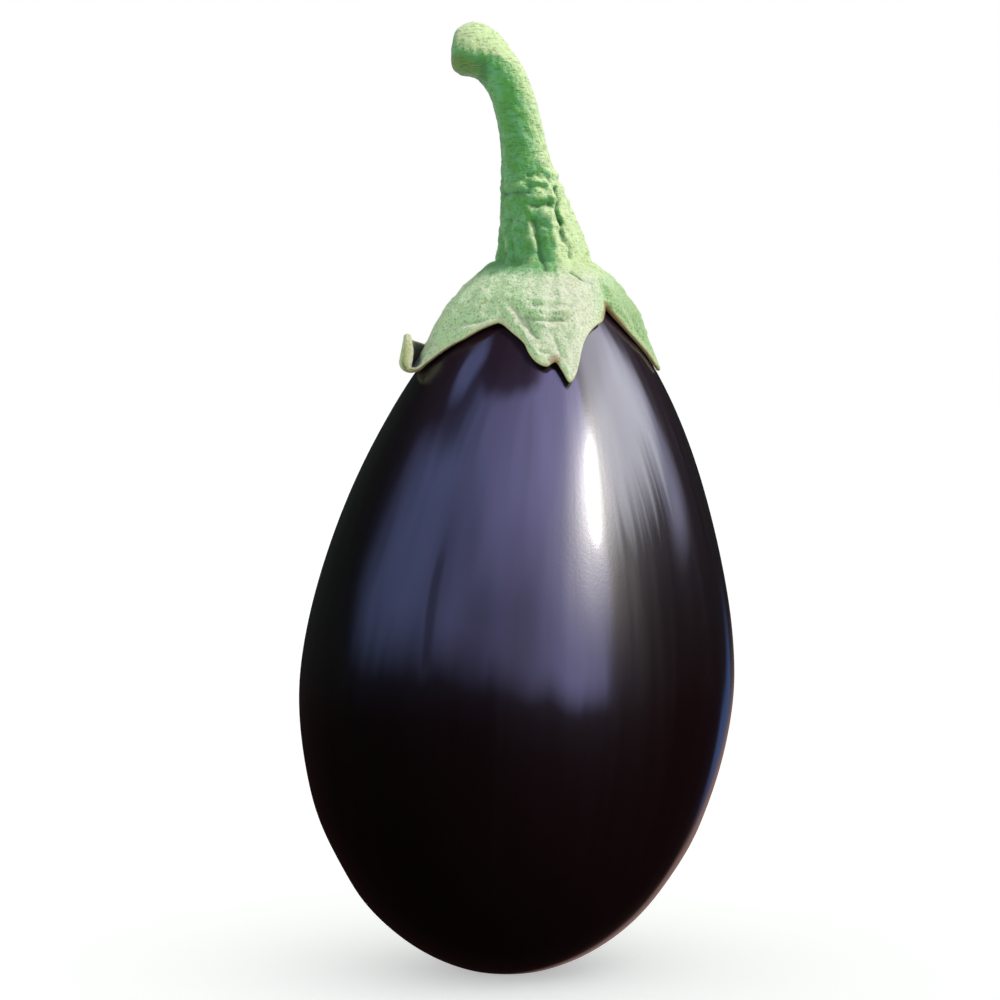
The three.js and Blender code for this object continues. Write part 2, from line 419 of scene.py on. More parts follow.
def topLift(degrees, share):
    reach, curlStart = share * reachAt(degrees), calyx["curlStart"]
    full = calyx["thickness"] - calyx["thinning"] * min(reach, curlStart)
    full -= calyx["crownDip"] * (1 - fade(reach, *calyx["crownDipEnd"]))
    thin = max(fade(share, *calyx["taper"]), fade(reach, curlStart - calyx["hookTaper"], curlStart))
    thickness = mix(full, marginAt(degrees, reach), thin)
    return underLift(degrees, share) + thickness + midrib(degrees, reach)


def growCalyx():
    columns = []
    for i in range(calyx["columns"]):
        degrees = i * 360 / calyx["columns"]
        columns.append(degrees - calyx["frontDraw"] * math.sin(math.radians(degrees)))
    under = [(i + 1) / calyx["underRows"] for i in range(calyx["underRows"])]
    top = [(i + 1) / calyx["topRows"] for i in reversed(range(calyx["topRows"]))]

    def row(share, height):
        reaches = [share * (reachAt(c) - calyx["marginBulge"]) for c in columns]
        return [onCalyx(c, reach, height(c, share)) for c, reach in zip(columns, reaches)]

    rings = [row(share, underLift) for share in under]
    reaches = [reachAt(c) for c in columns]
    lifts = [underLift(c, 1) + marginAt(c, reach) / 2 for c, reach in zip(columns, reaches)]
    rings.append([onCalyx(*place) for place in zip(columns, reaches, lifts)])
    rings += [row(share, topLift) for share in top]
    bottom = around(0, crown + calyx["gap"], 0)
    height = calyx["gap"] + calyx["thickness"] - calyx["crownDip"] + calyx["midribHeight"]
    summit = around(0, crown + height, 0)
    piece, grown = growRings("calyx_cap", rings, bottom, summit)
    vertices = piece.data.vertices
    reaches = [0.0] * len(vertices)
    margins = [reachAt(0)] * len(vertices)
    upper = [0.0] * len(vertices)
    for number, (ring, share) in enumerate(zip(grown, under + [1] + top)):
        for index, degrees in zip(ring, columns):
            reaches[index] = share * reachAt(degrees)
            margins[index] = (1 - share) * reachAt(degrees)
            upper[index] = float(number > len(under))
    upper[max(vertices, key=lambda v: v.co.z).index] = 1.0
    addValues(piece, "reach", reaches)
    addValues(piece, "toMargin", margins)
    addValues(piece, "upper", upper)
    return piece


# Folds of the cap, listed: points as (azimuth, reach), half width, height (grooves below zero).
folds = [
    ([(-20, 24.5), (-15, 26.8), (-9, 29.6), (-5, 32.9), (-1, 36)], 1.0, 0.85),
    ([(-16, 23.6), (-9, 27), (-6, 28.6), (-2, 31.6)], 0.45, -0.5),
    ([(-10, 25.3), (-4, 27.1), (2, 27.4), (8, 26.8), (13, 27.7), (18, 26.2)], 0.38, -0.65),
    ([(-9, 24), (-2, 25.3), (6, 25.2), (15, 25.3)], 0.5, 0.4),
    ([(-5, 23), (2, 23.6), (10, 23.2), (17, 24.1)], 0.35, -0.4),
    ([(-7, 21.6), (3, 22.2), (12, 21.6)], 0.5, 0.25),
    ([(-3, 28.6), (5, 29.2), (12, 29)], 0.6, 0.35),
    ([(20, 27.4), (17, 31.8), (14, 35), (13, 38.7), (12.5, 41.5)], 0.9, 0.5),
    ([(-1, 35), (5, 35.6), (7.5, 37.6)], 0.5, -0.5),
    ([(6, 30.5), (9, 33.5), (9.5, 36)], 0.45, -0.35),
    ([(25, 13), (31, 14.8)], 0.45, -0.7),
    ([(31, 14.8), (41, 17.2)], 0.3, -0.4),
    ([(-58, 27.9), (-41, 27), (-25, 25.6)], 0.6, -0.35),
    ([(-58, 30.4), (-46, 29.6), (-36, 27.6)], 0.8, 0.35),
    ([(-40, 17), (-52, 21), (-62, 27)], 0.7, -0.3),
    ([(44, 20), (50, 17), (58, 15)], 0.5, -0.3),
    ([(62, 20), (70, 25), (76, 31)], 0.8, -0.35),
    ([(58, 22), (66, 26.5), (74, 32)], 0.7, 0.35),
    ([(96, 18), (92, 25), (88, 33)], 0.9, 0.3),
]


def astray(point, seed):  # a small wander that keeps listed lines from being too clean
    size, distance = 2.4, 0.6
    return Vector((rough(*point, size, seed), rough(*point, size, seed + 1))) * distance


def foldHeight(point, degrees, reach, radius):
    total, spot = 0, astray(point, calyx["foldWander"])
    for path, halfWidth, height in folds:
        if abs(offAzimuth(degrees, path[0][0])) > calyx["foldSpan"]:
            continue
        flat = [(math.radians(offAzimuth(a, degrees)) * radius, r - reach) for a, r in path]
        total += height * bump(farFrom(flat, spot), halfWidth)
    return total * (1 + layered(point, [calyx["foldUneven"]]))


def calyxRelief(point, normal, degrees, reach, toMargin):
    radius = onOutline(reach).x
    inside = fade(toMargin, *calyx["lumpsInside"])
    lumps = layered(point, calyx["lumps"])
    warp = math.radians(degrees) + layered(point, [calyx["veinWander"]])
    sway, swayTurns = calyx["veinSway"]
    veins = math.cos(calyx["veins"] * warp + sway * math.sin(swayTurns * warp))
    veins *= calyx["veinDepth"] * fade(reach, *calyx["veinsFrom"])
    veins *= fade(toMargin, *calyx["veinsInside"])
    marks, front = neckRelief(point, normal)
    toes = calyx["toeHeight"] * ribWave(degrees, point.z) * (1 - fade(reach, *calyx["toeEnd"]))
    toes *= mix(1, stem["frontRibs"], front)
    rim = calyx["rimHeight"] * bump(toMargin - calyx["rimIn"], calyx["rimHalfWidth"])
    return inside * (lumps + veins + foldHeight(point, degrees, reach, radius)) + toes + marks + rim


def addPaintedLightFacing(piece):  # how far each point faces the lamp's side, read by the painted light that makes cap and stem paler there
    piece.data.update()
    paintedLightFrom = direction(*tissueLook["paintedLightFrom"])
    addValues(piece, "paintedLightFacing", [v.normal.dot(paintedLightFrom) for v in piece.data.vertices])


# The painted shade in the hook's hollow: a dark green laid where the curl is in shade.
hollowShade = {
    "fromReach": (38, 40), "inside": (0.2, 1.0), "tipReach": (48, 52), "tipShare": 0.75,
    "backReach": (39.5, 41.5), "backTurn": (276, 281),
    # a slanting line left of which the fold's floor gets the painted shade too: (x, z) and its
    # slope
    "line": (-20.2, 147), "slope": 0.29, "lineEdge": (-0.4, 0.4), "lineInside": (0.8, 1.6),
    "floorFrom": (35, 36.5), "floorTo": (46, 49),
}


def hollowShadeAt(point, degrees, reach, toMargin):
    if not calyx["curlFrom"] < degrees < calyx["curlTo"]:
        return 0.0
    front = fade(reach, *hollowShade["fromReach"]) * fade(toMargin, *hollowShade["inside"])
    front *= 1 - hollowShade["tipShare"] * fade(reach, *hollowShade["tipReach"])
    back = fade(reach, *hollowShade["backReach"]) * (1 - fade(degrees, *hollowShade["backTurn"]))
    x, z = hollowShade["line"]
    floor = fade(x - hollowShade["slope"] * (point.z - z) - point.x, *hollowShade["lineEdge"])
    floor *= fade(toMargin, *hollowShade["lineInside"])
    floor *= fade(reach, *hollowShade["floorFrom"]) * (1 - fade(reach, *hollowShade["floorTo"]))
    return max(front, back, floor)


def shapeCalyx(piece):
    vertices = piece.data.vertices
    reaches, margins = readValues(piece, "reach"), readValues(piece, "toMargin")
    upper = readValues(piece, "upper")
    normals = [v.normal.copy() for v in vertices]
    relief, dark = [0.0] * len(vertices), [0.0] * len(vertices)
    for i, vertex in enumerate(vertices):
        point = vertex.co / mm
        if upper[i] > 0:
            degrees = bearing(point)
            lift = calyxRelief(point, normals[i], degrees, reaches[i], margins[i])
            relief[i] = upper[i] * lift
            vertex.co += normals[i] * relief[i] * mm
            dark[i] = hollowShadeAt(point, degrees % 360, reaches[i], margins[i])
    addValues(piece, "relief", relief)
    addValues(piece, "hollowShade", dark)
    addPaintedLightFacing(piece)


# The stem, in millimetres.
stem = {
    # (x, z, radius, tilt of the section towards -X in degrees), from the cap to the cut end
    "stations": [
        (8.0, 175.4, 10.2, 2), (7.3, 180.8, 8.8, 7), (6.2, 185.8, 7.8, 11), (5.2, 190.6, 6.8, 12),
        (4.4, 195.5, 5.8, 11), (3.5, 201.6, 5.3, 11), (2.2, 207.6, 5.1, 16),
        (0.1, 213.4, 5.1, 27), (-2.9, 217.9, 5.4, 46), (-5.6, 220.4, 6.2, 62),
        (-8.0, 221.4, 6.6, 74), (-9.9, 221.6, 6.4, 80), (-11.5, 221.5, 5.5, 84),
    ],
    "oldCut": (-10.5, -3, 216.8),  # the olive patch under the tip
    "sides": 96, "rings": 110, "subdivisions": 1,
    "footReach": 10.6, "toeReach": 0.6, "footDepth": 1.5, "footSink": 0.6, "toesAt": 170,
    "footRows": 6, "skirtRows": 10, "skirtTop": 0.05,
    "skirtIn": 0.8, "skirtClear": 0.5, "skirtRaise": (0.6, 1.2),
    "ribs": 11, "ribDepth": 0.55, "ribFade": (180, 196), "ribBroadness": 2.2,
    "ribUneven": (0.9, 2, 0.4), "ribWander": [(0.35, 4.1, 2), (0.25, 2.3, 5)],
    "ribStrength": 0.75, "ribNoise": (0.5, 7, 9), "frontRibs": 0.35,
    "endRings": [(0.95, 0.5), (0.86, 0.9), (0.72, 1.3), (0.54, 1.5), (0.36, 1.6), (0.18, 1.65)],
    "endBulge": 1.68,
    # what the length attribute says of the foot, the skirt and the cut end, and what it's read by
    "footLength": -1, "skirtLength": 0, "endLength": 1.1,
    "reliefFrom": -0.9, "reliefTo": (0.97, 1.08),
    # bands round the neck: height, depth (below zero is a raised band), half width
    "creases": [(190.0, 0.3, 0.8), (192.6, -0.2, 0.9), (187.2, 0.25, 0.8), (183.4, 0.2, 0.9)],
    "creaseSway": 0.8, "creaseDepth": (0.55, 0.45),  # all round, and more towards +X
    "knobs": [(0.35, 2.6, 6)], "knobFade": (188, 197),
    "grain": [(0.14, 1.5, 7), (0.08, 0.8, 8)], "grainStrength": (1.8, 1), "grainFade": (190, 198),
    # ribs and furrows on the front of the neck: points as (x, z), half width, height
    "marks": [
        ([(7.6, 194.6)], 1.5, 0.45),
        ([(5.6, 186.2), (11.0, 186.3)], 0.85, 0.7),
        ([(8.6, 182.3)], 1.6, 0.65),
        ([(10.3, 181.6), (11.2, 177.5), (12.6, 173.9), (13.8, 170.0)], 0.95, 0.55),
        ([(5.3, 178.9), (5.9, 176.3), (6.6, 173.9)], 0.6, 0.45),
        ([(-0.4, 178.9), (0.1, 175.5), (-0.4, 173.4)], 0.7, 0.35),
        ([(-0.6, 188.9), (3.2, 189.0)], 0.8, 0.35),
        ([(3.6, 181.0)], 1.1, 0.4),
        ([(6.3, 171.0)], 0.9, 0.3),
        ([(13.1, 186.9), (14.8, 182.3), (16.9, 177.5), (18.9, 173.4)], 1.5, 0.35),
        ([(-0.6, 187.0), (2.0, 187.3), (5.1, 187.4)], 0.5, -0.65),
        ([(5.0, 191.6), (9.0, 191.8), (10.2, 190.8)], 0.7, -0.6),
        ([(5.6, 188.7), (9.0, 188.4)], 0.8, -0.6),
        ([(5.2, 184.5), (7.5, 184.2), (9.8, 184.6)], 0.6, -0.6),
        ([(11.5, 188.1), (12.2, 184.9), (11.9, 183.0), (12.7, 180.1)], 0.5, -0.85),
        ([(12.7, 180.1), (13.2, 177.2), (14.8, 173.9), (14.9, 171.9)], 0.6, -0.75),
        ([(8.0, 179.4)], 1.9, -0.6),
        ([(6.0, 180.6), (6.7, 177.2), (7.4, 174.6), (8.4, 171.0), (8.8, 169.2)], 0.75, -0.8),
        ([(0.6, 180.6), (0.9, 177.5), (1.4, 173.9), (1.5, 171.0)], 0.6, -0.65),
        ([(2.2, 176.8), (3.2, 175.3)], 0.6, -0.4),
        ([(-0.4, 172.2)], 1.1, -0.4),
    ],
    "marksFacing": (-0.1, 0.3), "marksFrom": (164, 167), "marksTo": (196, 199),
    "markWander": 31, "markWanderShare": 0.7,
}


def ribWave(degrees, height):  # 1 on a rib and -1 in a furrow
    turn = math.radians(degrees)
    uneven, unevenTurns, unevenStart = stem["ribUneven"]
    wander = sum(
        depth * math.sin(height / length + turns * turn)
        for depth, length, turns in stem["ribWander"]
    )
    phase = stem["ribs"] * turn + uneven * math.sin(unevenTurns * turn + unevenStart)
    wave = math.cos(phase + math.pi + wander)
    return 1 - 2 * ((1 - wave) / 2) ** stem["ribBroadness"]


def neckRelief(point, normal):  # the marks' height, and how much the point faces the front
    front = fade(-normal.y, *stem["marksFacing"]) * fade(point.z, *stem["marksFrom"])
    front *= 1 - fade(point.z, *stem["marksTo"])
    if front == 0 or point.y > 0:
        return 0, 0
    wander = astray(point, stem["markWander"]) * stem["markWanderShare"]
    spot = Vector((point.x, point.z)) + wander
    height = sum(
        high * bump(farFrom(path, spot), halfWidth) for path, halfWidth, high in stem["marks"]
    )
    return height * front, front


def station(share):  # Catmull-Rom through the stations
    stations = stem["stations"]
    spot = share * (len(stations) - 1)
    first = min(int(spot), len(stations) - 2)
    t = spot - first
    picks = [stations[min(max(first + k, 0), len(stations) - 1)] for k in (-1, 0, 1, 2)]
    weights = (
        (-t + 2 * t * t - t ** 3) / 2,
        (2 - 5 * t * t + 3 * t ** 3) / 2,
        (t + 4 * t * t - 3 * t ** 3) / 2,
        (t ** 3 - t * t) / 2,
    )
    return [sum(w * p[k] for w, p in zip(weights, picks)) for k in range(4)]


def onStem(share, degrees):
    x, z, radius, tilt = station(share)
    turn, lean = math.radians(degrees), math.radians(tilt)
    side = radius * math.sin(turn)
    return Vector((x + side * math.cos(lean), -radius * math.cos(turn), z + side * math.sin(lean)))


def footPoint(degrees, share, clear):
    toes = stem["toeReach"] * max(0, ribWave(degrees, stem["toesAt"]))
    reach = (stem["footReach"] + toes) * share
    return onCalyx(degrees, reach, topLift(degrees, reach / reachAt(degrees)) + clear)


def skirtPoint(degrees, row):  # the skirt leaves the cap and rises into the neck
    edge = footPoint(degrees, 1, -stem["footDepth"])
    inner = footPoint(degrees, stem["skirtIn"], stem["skirtClear"])
    neck, below = onStem(stem["skirtTop"], degrees), onStem(0, degrees)
    innerRaise, belowRaise = stem["skirtRaise"]
    inner.z, below.z = inner.z + innerRaise, below.z + belowRaise
    return interpolate_bezier(edge, inner, below, neck, stem["skirtRows"] + 1)[row]


def growStem():
    columns = [i * 360 / stem["sides"] for i in range(stem["sides"])]
    footRows, depth, skirtTop = stem["footRows"], stem["footDepth"], stem["skirtTop"]
    rings = [[footPoint(c, (i + 1) / footRows, -depth) for c in columns] for i in range(footRows)]
    lengths = [stem["footLength"]] * len(rings)
    for i in range(stem["skirtRows"]):
        rings.append([skirtPoint(c, i) for c in columns])
        lengths.append(stem["skirtLength"])
    for i in range(stem["rings"] + 1):
        share = skirtTop + (1 - skirtTop) * i / stem["rings"]
        rings.append([onStem(share, c) for c in columns])
        lengths.append(share)
    endX, endZ, _, endTilt = stem["stations"][-1]
    tip = Vector((endX, 0, endZ))
    ahead = Vector((-math.sin(math.radians(endTilt)), 0, math.cos(math.radians(endTilt))))
    rim = rings[-1]
    for scale, bulge in stem["endRings"]:
        rings.append([tip.lerp(p, scale) + ahead * bulge for p in rim])
        lengths.append(stem["endLength"])
    tip = tip + ahead * stem["endBulge"]
    height = crown + calyx["gap"] + calyx["thickness"] - calyx["crownDip"] - stem["footSink"]
    piece, grown = growRings("green_stalk", rings, around(0, height, 0), tip)
    shares = [0.0] * len(piece.data.vertices)
    for ring, length in zip(grown, lengths):
        for index in ring:
            shares[index] = length
    addValues(piece, "length", shares)
    levels = stem["subdivisions"]
    applyModifier(piece, "SUBSURF", levels=levels, render_levels=levels)
    return piece


def stemRelief(point, normal, degrees):
    z, turn = point.z, math.radians(degrees)
    marks, front = neckRelief(point, normal)
    strength = stem["ribStrength"] + layered(point, [stem["ribNoise"]])
    strength *= mix(1, stem["frontRibs"], front)
    relief = stem["ribDepth"] * ribWave(degrees, z) * strength * (1 - fade(z, *stem["ribFade"]))
    allRound, oneSide = stem["creaseDepth"]
    for height, depth, halfWidth in stem["creases"]:
        level = height + stem["creaseSway"] * math.sin(turn + height)
        relief -= depth * bump(z - level, halfWidth) * (allRound + oneSide * math.sin(turn))
    knobs = layered(point, stem["knobs"]) * (1 - fade(z, *stem["knobFade"]))
    grain = layered(point, stem["grain"]) * mix(*stem["grainStrength"], fade(z, *stem["grainFade"]))
    return relief + marks + knobs + grain


def shapeStem(piece):
    vertices = piece.data.vertices
    lengths = readValues(piece, "length")
    normals = [v.normal.copy() for v in vertices]
    relief = [0.0] * len(vertices)
    for i, vertex in enumerate(vertices):
        point, length = vertex.co / mm, lengths[i]
        x = station(max(0, min(length, 1)))[0]
        degrees = math.degrees(math.atan2(point.x - x, -point.y))
        if length > stem["reliefFrom"]:
            lift = stemRelief(point, normals[i], degrees)
            relief[i] = lift * (1 - fade(length, *stem["reliefTo"]))
            vertex.co += normals[i] * relief[i] * mm
    addValues(piece, "relief", relief)
    addPaintedLightFacing(piece)


# Materials, in millimetres. Their settings are looked up by name: a smooth step as where it starts
# and ends, and its height if that isn't 1, and a noise as (scale, detail, roughness).
class Wire:
    def __init__(self, graph, socket):
        self.graph, self.socket = graph, socket

    def __add__(self, other):
        return self.graph.maths("ADD", self, other)

    def __sub__(self, other):
        return self.graph.maths("SUBTRACT", self, other)

    def __rsub__(self, other):
        return self.graph.maths("SUBTRACT", other, self)

    def __mul__(self, other):
        return self.graph.maths("MULTIPLY", self, other)

    def __truediv__(self, other):
        return self.graph.maths("DIVIDE", self, other)

    __radd__, __rmul__ = __add__, __mul__


class Graph:
    def __init__(self, tree, look):
        self.tree, self.look = tree, look
        tree.nodes.clear()

    def node(self, kind, settings=None, inputs=None, output=0):
        made = self.tree.nodes.new(kind)
        for name, value in (settings or {}).items():
            setattr(made, name, value)
        for name, value in (inputs or {}).items():
            if isinstance(value, Wire):
                self.tree.links.new(value.socket, made.inputs[name])
            else:
                made.inputs[name].default_value = value
        return Wire(self, made.outputs[output]) if len(made.outputs) else None

    def maths(self, operation, *values):
        return self.node("ShaderNodeMath", {"operation": operation}, dict(enumerate(values)))

    def ramp(self, value, low, high, start=0, end=1):
        settings = {"interpolation_type": "SMOOTHSTEP"}
        inputs = {"Value": value, "From Min": low, "From Max": high, "To Min": start, "To Max": end}
        return self.node("ShaderNodeMapRange", settings, inputs)

    def step(self, value, name):  # rises from 0
        low, high, *top = self.look[name]
        return self.ramp(value, low, high, 0, *top)

    def drop(self, value, name):  # falls to 0
        low, high, *top = self.look[name]
        return self.ramp(value, low, high, *(top or [1]), 0)

    def window(self, value, name):  # rises over the first two of four numbers, falls over the last
        low, lower, higher, high = self.look[name]
        return self.ramp(value, low, lower) * self.ramp(value, higher, high, 1, 0)

    def sway(self, noise, name):  # a noise from 0 to 1, swinging about 0 instead
        return (noise - 0.5) * self.look[name]

    def away(self, value, name):
        return self.maths("ABSOLUTE", value - self.look[name])

    def blend(self, factor, a, b, mode="MIX"):
        settings = {"data_type": "RGBA", "blend_type": mode}
        return self.node("ShaderNodeMix", settings, {0: factor, 6: a, 7: b}, 2)

    def noise(self, vector, name):
        scale, detail, roughness = self.look[name]
        inputs = {"Vector": vector, "Scale": scale, "Detail": detail, "Roughness": roughness}
        return self.node("ShaderNodeTexNoise", None, inputs)

    def normal(self, height):
        inputs = {"Height": height, "Strength": 1, "Distance": self.look["bumps"] * mm}
        return self.node("ShaderNodeBump", None, inputs)

    def distance(self, a, b):
        return self.node("ShaderNodeVectorMath", {"operation": "DISTANCE"}, {0: a, 1: b}, "Value")

    def axes(self, vector):
        return [self.node("ShaderNodeSeparateXYZ", None, {0: vector}, i) for i in range(3)]

    def join(self, x, y, z):
        return self.node("ShaderNodeCombineXYZ", None, {0: x, 1: y, 2: z})

    def millimetres(self):
        place = self.node("ShaderNodeTexCoord", None, None, "Object")
        settings = {"operation": "SCALE"}
        return self.node("ShaderNodeVectorMath", settings, {0: place, "Scale": 1 / mm})

    def attribute(self, name):
        return self.node("ShaderNodeAttribute", {"attribute_name": name}, None, "Fac")


def paint(red, green, blue):  # a colour from its 0 to 255 values on screen
    def linear(value):
        value /= 255
        return value / 12.92 if value <= 0.04045 else ((value + 0.055) / 1.055) ** 2.4
    return (linear(red), linear(green), linear(blue), 1)


def newMaterial(name, look):
    material = bpy.data.materials.new(name)
    material.use_nodes = True
    return material, Graph(material.node_tree, look)


def surface(graph, inputs):
    shader = graph.node("ShaderNodeBsdfPrincipled", None, inputs)
    graph.node("ShaderNodeOutputMaterial", None, {"Surface": shader})


skinLook = {
    "dark": paint(5, 1, 2), "plum": paint(17, 6, 13), "scar": paint(92, 66, 42),
    # two noises drawn out along the fruit, laid on a circle of this radius, and fine pores
    "circle": 52, "leastRadius": 0.01, "streaks": (0.28, 2, 0.5), "streakStretch": 0.035,
    "broad": (0.09, 2, 0.5), "broadStretch": 0.12, "pores": (1.3, 2, 0.6),
    "tone": (0.35, 0.9), "broadShare": 0.5, "high": (70, 165, 0.5),
    "streakTone": (0.4, 0.9), "streaksOver": (60, 110, 0.35),
    "scarNoise": (0.8, 3, 0.5), "scarRagged": 3, "scarEdge": (4.6, 6.2), "scarUnder": (1, 2),
    "roughness": 0.24, "streakRoughness": 0.16, "scarRoughness": 0.4,
    "coatRoughness": 0.06, "refraction": 1.45, "specular": 0.25,
    "streakDepth": 0.03, "poreDepth": 0.012, "bumps": 1,
    "dullShadeAt": (-55, 38, -0.4), "dullShade": (3.6, 7.2, 0.85),  # a dull spot beneath the hook, painted shade: less coat there darkens the skin's reflection
}


def skinMaterial():
    look = skinLook
    material, g = newMaterial("aubergine_skin", look)
    place = g.millimetres()
    x, y, z = g.axes(place)
    x = x - z * (z * fruit["leanBend"] + fruit["leanSlope"])
    fromAxis = g.maths("SQRT", x * x + y * y)
    radius = fromAxis + look["leastRadius"]
    circle = x / radius * look["circle"], y / radius * look["circle"]
    streaks = g.noise(g.join(*circle, z * look["streakStretch"]), "streaks")
    broad = g.noise(g.join(*circle, z * look["broadStretch"]), "broad")
    tone = g.step(broad * look["broadShare"] + g.step(z, "high"), "tone")
    colour = g.blend(tone, look["dark"], look["plum"])
    streaked = g.step(streaks, "streakTone") * g.step(z, "streaksOver")
    colour = g.blend(streaked, colour, look["plum"])
    flat = fromAxis + g.noise(place, "scarNoise") * look["scarRagged"]
    scar = g.drop(flat, "scarEdge") * g.drop(z, "scarUnder")
    colour = g.blend(scar, colour, look["scar"])
    roughness = look["roughness"] + streaks * look["streakRoughness"] + scar * look["scarRoughness"]
    height = look["streakDepth"] * streaks + look["poreDepth"] * g.noise(place, "pores")
    # painted shade beneath the hook: a duller spot of skin with less coat
    dullShade = g.drop(g.distance(place, onCalyx(*look["dullShadeAt"])), "dullShade")
    surface(g, {
        "Base Color": colour, "Roughness": roughness, "Normal": g.normal(height),
        "Coat Weight": 1 - scar - dullShade, "Coat Roughness": look["coatRoughness"],
        "IOR": look["refraction"], "Specular IOR Level": look["specular"],
    })
    return material


tissueLook = {
    "neckGreen": paint(76, 152, 58), "neckCool": paint(92, 164, 98),
    # the furrow green is painted shade in furrows and creases, and the colour of real spots and
    # dashes
    "neckPale": paint(190, 212, 154), "furrow": paint(42, 100, 36),
    "capCream": paint(212, 218, 192), "capGreen": paint(194, 234, 172),
    "capShade": paint(146, 176, 116), "capDeep": paint(74, 128, 58),
    # the side that painted light comes from: cap and stem colours are made paler facing it
    "ochre": paint(214, 206, 138), "paintedLightFrom": (75, 45),
    "fine": (2, 3, 0.7), "mottle": (1.4, 4, 0.75), "broad": (0.1, 2, 0.5),
    "patches": (0.35, 3, 0.6), "specks": 1.05,
    # the neck's pale fuzz, partly real and partly painted light: less of it low on the left as
    # painted shade, more low on the right and on the tip as painted light, and more on the side
    # facing the lamp
    "paleFuzzAndLight": (0.3, 0.95), "fuzzNoise": 1.1, "lowUnder": (168, 177), "lowLeft": (8, 14, 0.5),
    "right": (10, 15), "rightUnder": (188, 194, 0.45), "tip": (218, 222.5, 0.75),
    "cool": (0.42, 0.62), "ribs": (0.15, 0.9, 0.6),
    "spots": (0.1, 0.45), "spotsUnder": (196, 204, 0.4),
    # the cap's cream, partly real mottled cream and partly painted light on the side facing the
    # lamp, its shaded right end, the brighter hook lobe, flecks and grit, fewer of them on the
    # painted lit side
    "creamAndLight": (-0.25, 0.8), "creamPaintedLight": 0.9, "creamBroad": 0.6, "creamMottle": 1.6,
    "creamShadedEnd": (17, 28, 0.9), "lobe": (-20, -12), "creamLobe": 0.5,
    "shaded": (19, 29, 0.8), "ochrePatches": (0.58, 0.7, 0.4),
    "paintedLit": (0.1, 0.6), "paintedLitLeft": (17, 26), "fleckMottle": (0.44, 0.54),
    "flecks": (0.16, 0.44), "fleckShare": 0.65, "fleckPaintedLit": 0.15,
    "grit": (0.32, 0.52), "gritShare": 0.54, "gritPaintedLit": 0.2, "gritLobe": 0.2,
    # where the neck starts, and how much painted shade darkens the furrows: on the cap, on the
    # neck, on its right
    "neck": (166.2, 169.8), "neckMottle": 8, "neckRelief": 1.5, "furrows": (-0.8, -0.15),
    "furrowCap": 0.25, "furrowNeck": 0.25, "furrowRight": (9, 12, 0.45),
    "roughness": 0.62, "roughnessNoise": 0.2, "sheenRoughness": 0.45,
}


def tissueColour(g, place, relief):  # the green that calyx and stem share, from neck to cap
    look = g.look
    x, _, z = g.axes(place)
    # painted light: how far the point faces the lit side
    paintedLightFacing = g.attribute("paintedLightFacing")
    names = ("fine", "mottle", "broad", "patches")
    fine, mottle, broad, patches = (g.noise(place, name) for name in names)
    specks = g.node("ShaderNodeTexVoronoi", None, {"Vector": place, "Scale": look["specks"]})
    # painted light and shade: the pale fuzz is less low on the left, more on the right, on the tip
    # and on the side facing the lamp
    low = g.drop(z, "lowUnder") * g.drop(x, "lowLeft")
    right = g.step(x, "right") * g.drop(z, "rightUnder")
    paleFuzzAndLight = g.step(paintedLightFacing + g.sway(fine, "fuzzNoise") - low + right + g.step(z, "tip"), "paleFuzzAndLight")
    shade = g.blend(g.step(patches, "cool"), look["neckGreen"], look["neckCool"])
    stemTone = g.blend(paleFuzzAndLight, shade, look["neckPale"])
    # painted highlight: raised ribs are painted pale
    stemTone = g.blend(g.step(relief, "ribs"), stemTone, look["neckPale"])
    spots = g.drop(specks, "spots") * g.drop(z, "spotsUnder")
    stemTone = g.blend(spots, stemTone, look["furrow"])
    lobe = g.drop(x, "lobe")
    # painted light: the cap is creamier on the side facing the lamp and less creamy on its shaded
    # right end
    creamAndPaintedLight = paintedLightFacing * look["creamPaintedLight"] + lobe * look["creamLobe"] - g.step(x, "creamShadedEnd")
    creamAndPaintedLight = creamAndPaintedLight + g.sway(broad, "creamBroad") + g.sway(mottle, "creamMottle")
    creamAndPaintedLight = g.step(creamAndPaintedLight, "creamAndLight")
    capTone = g.blend(creamAndPaintedLight, look["capGreen"], look["capCream"])
    capTone = g.blend(g.step(x, "shaded"), capTone, look["capShade"])
    capTone = g.blend(g.step(patches, "ochrePatches"), capTone, look["ochre"])
    # painted light: fewer dark flecks and grit on the lit side
    paintedLit = g.step(paintedLightFacing, "paintedLit") * g.drop(x, "paintedLitLeft")
    flecks = g.drop(specks, "flecks") * g.step(mottle, "fleckMottle")
    flecks = flecks * (look["fleckShare"] - paintedLit * look["fleckPaintedLit"])
    capTone = g.blend(flecks, capTone, look["capDeep"])
    gritShare = look["gritShare"] - paintedLit * look["gritPaintedLit"] - lobe * look["gritLobe"]
    capTone = g.blend(g.drop(fine, "grit") * gritShare, capTone, look["capDeep"])
    neck = g.step(z + g.sway(mottle, "neckMottle") - relief * look["neckRelief"], "neck")
    colour = g.blend(neck, capTone, stemTone)
    # painted shade: the furrows are painted darker, more on the neck and on its right
    furrowShadeStrength = neck * (g.step(x, "furrowRight") + look["furrowNeck"]) + look["furrowCap"]
    colour = g.blend(g.drop(relief, "furrows") * furrowShadeStrength, colour, look["furrow"])
    return colour, fine, mottle


def tissueSurface(g, colour, fine, height):
    look = g.look
    surface(g, {
        "Base Color": colour, "Normal": g.normal(height),
        "Roughness": fine * look["roughnessNoise"] + look["roughness"],
        "Sheen Weight": look["sheen"], "Sheen Roughness": look["sheenRoughness"],
    })


